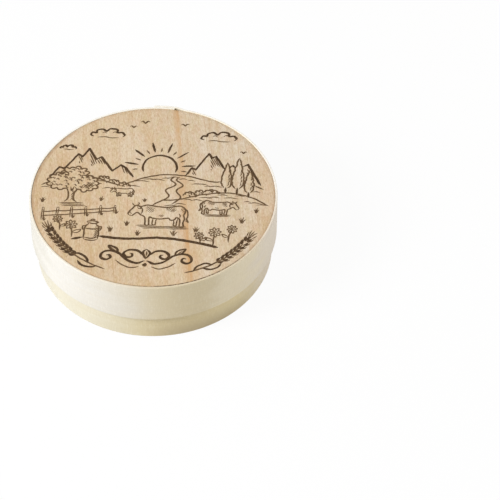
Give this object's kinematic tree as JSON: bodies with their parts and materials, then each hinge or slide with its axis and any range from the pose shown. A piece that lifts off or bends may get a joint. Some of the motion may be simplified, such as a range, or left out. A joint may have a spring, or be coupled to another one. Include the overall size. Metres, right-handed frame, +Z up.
{
  "type": "round wooden cheese box",
  "caption": "Round bent-wood cheese box: a disc glued in a bent, lapped and stapled strip, with a lift-off lid made the same way that slides down over it.",
  "frame": {"origin": "centre of the base disc's underside, on the axis of both hoops", "axes": "+Z up along the hoops' axis, -Y towards the side seen in the picture, so that both seams are at the back"},
  "size_m": [0.118, 0.1191, 0.037],
  "materials": {
    "disc_poplar": "bare planed poplar, pale tan with fine straight grain",
    "lid_strip_veneer": "bare peeled poplar veneer, near white",
    "base_strip_veneer": "bare peeled poplar veneer, yellowish cream",
    "staple_wire": "galvanised flat wire",
    "glue": "set wood glue, pale amber"
  },
  "bodies": {
    "base": {"base_hoop": "base_strip_veneer", "base_disc": "disc_poplar", "base_glue_line": "glue", "base_staples": "staple_wire"},
    "lid": {"lid_hoop": "lid_strip_veneer", "lid_disc": "disc_poplar", "lid_glue_line": "glue", "lid_staples": "staple_wire"}
  },
  "joints": [
    {"name": "lid_lift", "type": "slide", "parent": "base", "child": "lid", "axis": [0, 0, 1], "range_m": [0, 0.045]}
  ]
}
